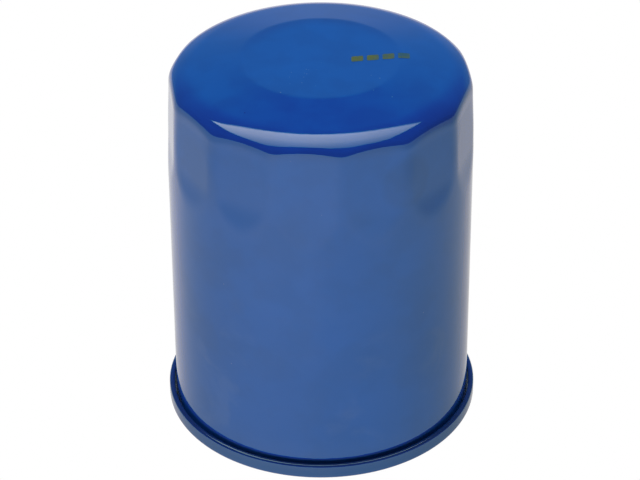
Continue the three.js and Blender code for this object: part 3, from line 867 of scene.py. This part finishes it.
def filter_media():
    """Pleated paper: a ribbon that folds between a tip and a valley circle, ends at the clip."""
    pleats = 47
    gap = math.radians(1.2)
    halves = pleats * 2
    step = (TURN - 2 * gap) / halves
    folds = []
    for i in range(halves + 1):
        angle = gap + step * i
        radius = 18.6 if i % 2 else 32.45
        fold = (radius * math.cos(angle), radius * math.sin(angle))
        folds.append(fold if i in (0, halves) else (*fold, 0.42 if i % 2 else 0.5))
    ribbon = sheet(rounded(folds, 30), 0.5)
    heights = [p[1] for p in rows_between((0, low("filter_media")), (0, high("filter_media")), 8)]
    piece = prism("filter_media_fine", ribbon, heights, 60)
    return dress(piece, "filter_media", "element", FILTER_PAPER)


def media_seam_clip():
    """Folded strip that holds the two ends of the paper together."""
    strip = 0.35
    side = 1.55 + strip / 2
    middle = rounded([(30.5, -side), (33.15, -side, 0.5), (33.15, side, 0.5), (30.5, side)], 15)
    heights = [low("media_seam_clip"), high("media_seam_clip")]
    piece = prism("media_seam_clip_fine", sheet(middle, strip), heights)
    return dress(piece, "media_seam_clip", "element", TINPLATE)


def center_tube():
    """Perforated tube, with its holes in staggered rows."""
    bottom, top = low("center_tube"), high("center_tube")
    inner, outer = 16.5, 17.1
    section = rounded([(inner, bottom), (outer, bottom, 0.1), (outer, top, 0.1), (inner, top)], 30)
    piece = lathe("center_tube_fine", section, INNER_COLUMNS)
    rows, per_row, margin = 6, 6, 5
    pitch = (top - bottom - 2 * margin) / rows
    holes, wall = [], (inner + outer) / 2
    for row in range(rows):
        for i in range(per_row):
            angle = TURN * (i + (row % 2) / 2) / per_row
            height = bottom + margin + pitch * (row + 0.5)
            middle = (-wall * math.sin(angle), wall * math.cos(angle), height)
            holes.append(rod(2.6, 4.0, middle, angle, 24))
    punch(piece, holes)
    return dress(piece, "center_tube", "element", TINPLATE)


def bypass_housing():
    """Flanged seat of the bypass valve, with the skirt that takes its spring cup."""
    bottom, top = low("bypass_housing"), high("bypass_housing")
    under = bottom + 5.0
    section = rounded([
        (7.5, under, 0.2),
        (11.9, under, 0.2),
        (11.9, bottom),
        (12.4, bottom),
        (12.4, under, 0.2),
        (14.3, under, 0.2),
        (14.3, top, 0.2),
        (7.5, top, 0.2),
    ], 30)
    piece = lathe("bypass_housing_fine", section, INNER_COLUMNS)
    return dress(piece, "bypass_housing", "element", PLATE_STEEL)


def bypass_poppet():
    """Pressed disc that closes the seat, with a boss that centres its spring."""
    top, bottom = high("bypass_poppet"), low("bypass_poppet")
    section = rounded([
        (0, bottom),
        (4.2, bottom, 0.5),
        (4.4, top - 1.0, 0.15),
        (10.3, top - 1.0, 0.3),
        (10.3, top, 0.3),
        (7.0, top, 0.6),
        (5.6, top - 0.6, 0.6),
        (0, top - 0.6),
    ], 15)
    piece = lathe("bypass_poppet_fine", section, INNER_COLUMNS)
    return dress(piece, "bypass_poppet", "poppet", PLATE_STEEL)


def spring_retainer():
    """Cup that holds the bypass spring, with four windows for the oil."""
    bottom, top = low("bypass_spring_retainer"), high("bypass_spring_retainer")
    section = sheet(rounded([(3, bottom + 0.25), (11.35, bottom + 0.25, 0.7), (11.35, top)], 12), 0.5)
    piece = lathe("bypass_spring_retainer_fine", section, INNER_COLUMNS)
    windows = []
    for i in range(2):
        outline = rounded([(-4.2, -3.25, 1.2), (4.2, -3.25, 1.2), (4.2, 3.25, 1.2), (-4.2, 3.25, 1.2)], 15)
        window = prism("cutter", outline, [-17, 17])
        turn = Matrix.Rotation(math.pi / 2 * i, 4, "Z") @ Matrix.Rotation(math.pi / 2, 4, "X")
        window.data.transform(Matrix.Translation((0, 0, (bottom + 6.25) * MM)) @ turn)
        windows.append(window)
    punch(piece, windows)
    return dress(piece, "bypass_spring_retainer", "element", PLATE_STEEL)


def element_spring_seat():
    """Dished washer that centres the hold-down spring on the upper cap."""
    plate = low("element_spring_seat") + CAP_SHEET / 2
    section = sheet(rounded([(15.2, plate), (20.2, plate, 0.5), (20.2, plate + 2.2)], 12), CAP_SHEET)
    piece = lathe("element_spring_seat_fine", section, INNER_COLUMNS)
    return dress(piece, "element_spring_seat", "element", TINPLATE)


def springs():
    """The two coil springs, each between the heights of its CAD node."""
    wire = 1.6
    hold_low, hold_high = low("element_spring") + wire / 2, high("element_spring") - wire / 2
    hold = coil("element_spring_fine", 17.4, wire, hold_low, hold_high, 3.5)
    dress(hold, "element_spring", None, SPRING_STEEL)
    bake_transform(hold)
    wire = 1.0
    by_low, by_high = low("bypass_spring") + wire / 2, high("bypass_spring") - wire / 2
    bypass = coil("bypass_spring_fine", 5.4, wire, by_low, by_high, 5.5, 16, 48)
    dress(bypass, "bypass_spring", None, SPRING_STEEL)
    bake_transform(bypass)


def ink_mark():
    """A generic mark of four plain ink bars on the dome, draped over the disc's edge."""
    vertices, faces = [], []
    length, width, spacing, columns = 2.9, 2.6, 3.8, 16
    for i in range(4):
        left, first = 7.6 + spacing * i, len(vertices)
        for j in range(columns + 1):
            x = left + length * j / columns
            middle = 0.15 * x - 2.2
            side = width / 2 - 0.3 * abs(2 * j / columns - 1) ** 8
            for y in (middle - side, middle + side):
                roof = TOP - max(0, math.hypot(x, y) - DISC_RADIUS) * math.tan(CONE_SLOPE)
                vertices += [(x, y, roof + 0.004), (x, y, roof + 0.03)]
        for j in range(columns):
            near_low, near_high, far_low, far_high, *others = range(first + 4 * j, first + 4 * j + 8)
            next_near_low, next_near_high, next_far_low, next_far_high = others
            faces += [
                (near_high, next_near_high, next_far_high, far_high),
                (near_low, far_low, next_far_low, next_near_low),
                (near_low, next_near_low, next_near_high, near_high),
                (far_low, far_high, next_far_high, next_far_low),
            ]
        faces += [(first, first + 1, first + 3, first + 2)]
        faces += [tuple(first + 4 * columns + k for k in (0, 2, 3, 1))]
    return dress(new_object("ink_mark", vertices, faces), None, "can", INK)


can_shell()
seaming_lid()
ring("seam_compound_fine", "seam_compound", "can", COMPOUND, 37.8, 38.95, 0.08, FINE_COLUMNS)
base_plate()
sealing_gasket()
drainback_valve()
lower_end_cap()
ring("lower_bond_fine", "lower_bond", "element", PLASTISOL, 17.3, 33.1, 0.4)
filter_media()
media_seam_clip()
center_tube()
ring("upper_bond_fine", "upper_bond", "element", PLASTISOL, 17.3, 33.1, 0.4)
upper_end_cap()
bypass_housing()
ring("bypass_seat_seal_fine", "bypass_seat_seal", "element", VALVE_RUBBER, 7.9, 10.3)
bypass_poppet()
spring_retainer()
element_spring_seat()
springs()
ink_mark()


# ---- Light and camera -------------------------------------------------------------------------


def studio():
    """A dim room with a white table, a softbox overhead and a bright strip behind, as a sky
    that only depends on direction, so that the part is lit alike from every side view."""
    world = bpy.data.worlds.new("studio")
    bpy.context.scene.world = world
    world.use_nodes = True
    tree = world.node_tree
    background = tree.nodes["Background"]
    coordinates = tree.nodes.new("ShaderNodeTexCoord")
    split = tree.nodes.new("ShaderNodeSeparateXYZ")
    tree.links.new(coordinates.outputs["Generated"], split.inputs[0])
    x, y, z = (Field(tree, s) for s in split.outputs)

    # rays that see it directly, as the white behind the part, and rays of its even light
    path = tree.nodes.new("ShaderNodeLightPath")
    seen, even = (Field(tree, path.outputs[name]) for name in ("Is Camera Ray", "Is Diffuse Ray"))

    # dim surroundings: almost dark in front, with some glow low down behind
    behind = y.ramp(0.1, 0.75) * x.math("ABSOLUTE").ramp(0.05, 0.55, 1, 0.65)
    glow = z.ramp(0.10, 0.35, 0.34, 0.20) * z.ramp(0.60, 0.80, 1, 0.3)
    room = z.ramp(-0.12, -0.02) * (0.08 + behind * glow)

    # a wide white sheet under the part, brightest in front and a little dimmer on the right
    sheet_light = y.ramp(-0.9, 0.6, 1.62, 0.82) * x.ramp(-0.6, 0.6, 1.09, 0.91)
    side_fall = x.math("ABSOLUTE").ramp(0.5, 0.9) * z.ramp(-0.52, -0.35) * -0.25 + 1
    table = z.ramp(-0.02, -0.12) * sheet_light * z.ramp(-0.63, -0.50, 0.84, 1.08) * side_fall

    # a square softbox overhead, brightest at its back edge
    up = z.math("MAXIMUM", 0.05)
    across, along = x / up, y / up
    sides = (across + 0.09).math("ABSOLUTE").ramp(0.74, 0.68)
    ends = along.ramp(-0.53, -0.40) * along.ramp(0.51, 0.455)
    bright = (3.7 + along * 4.4).clamp(1.5, 5.6) * across.ramp(-0.1, 0.7, 1, 0.62)
    softbox = sides * ends * z.ramp(0.3, 0.5) * bright * (1 - even * 0.6)

    # seen in full in reflections, dimmer as a source of even light
    light = (room + table + softbox) * (1 - even * 0.7)
    feed(tree, light * (1 - seen) + seen, background.inputs["Strength"])

    # the softbox is a little cool and the sheet a little warm
    warmth = z.ramp(0.1, -0.1) * (1 - seen)
    tint = tree.nodes.new("ShaderNodeCombineColor")
    feed(tree, warmth * 0.09 + seen * 0.08 + 0.92, tint.inputs["Red"])
    feed(tree, 1.0, tint.inputs["Green"])
    feed(tree, warmth * -0.05 + 1.0, tint.inputs["Blue"])
    tree.links.new(tint.outputs[0], background.inputs["Color"])


def soft_lamp(name, place, size, watts):
    """A large lamp aimed at the can. It adds no highlight and is never seen itself."""
    data = bpy.data.lights.new(name, "AREA")
    data.shape = "DISK"
    data.size = size
    data.energy = watts
    lamp = bpy.data.objects.new(name, data)
    bpy.context.scene.collection.objects.link(lamp)
    aim = Vector((0, 0, 0.05)) - Vector(place)
    lamp.location = place
    lamp.rotation_mode = "QUATERNION"
    lamp.rotation_quaternion = aim.to_track_quat("-Z", "Y")
    lamp.visible_glossy = False
    lamp.visible_camera = False


def camera():
    """The camera: in front and above, with a long lens."""
    data = bpy.data.cameras.new("camera")
    data.lens = 151.35
    data.clip_start, data.clip_end = 0.01, 20
    made = bpy.data.objects.new("camera", data)
    bpy.context.scene.collection.objects.link(made)
    pitch, yaw, roll = math.radians(33.05), math.radians(0.0234), -0.0049
    turn = Matrix.Rotation(yaw, 4, "Z") @ Matrix.Rotation(math.pi / 2 - pitch, 4, "X")
    made.matrix_world = Matrix.Translation((0, -0.57348, 0.42004)) @ turn @ Matrix.Rotation(roll, 4, "Z")
    bpy.context.scene.camera = made


studio()
soft_lamp("overhead", (0, 0.25, 1.2), 0.6, 9.6)
soft_lamp("sheet_bounce", (-0.14, -1.0, -0.40), 0.5, 7.7)
soft_lamp("rear_fill", (0, 1.0, -0.25), 0.6, 4.5)
camera()

# the darkest reds and greens are held down a little, and the rest of each curve is straight
look = bpy.context.scene.view_settings
look.view_transform = "Standard"
look.use_curve_mapping = True
deep_tones = (
    ((0.006, 0.007), (0.02, 0.011), (0.05, 0.032), (0.30, 0.30)),
    ((0.02, 0.019), (0.04, 0.029), (0.06, 0.045), (0.09, 0.090), (0.13, 0.129), (0.30, 0.298)),
)
for curve, points in zip(look.curve_mapping.curves, deep_tones):
    for level, shown in points:
        curve.points.new(level, shown)
look.curve_mapping.update()
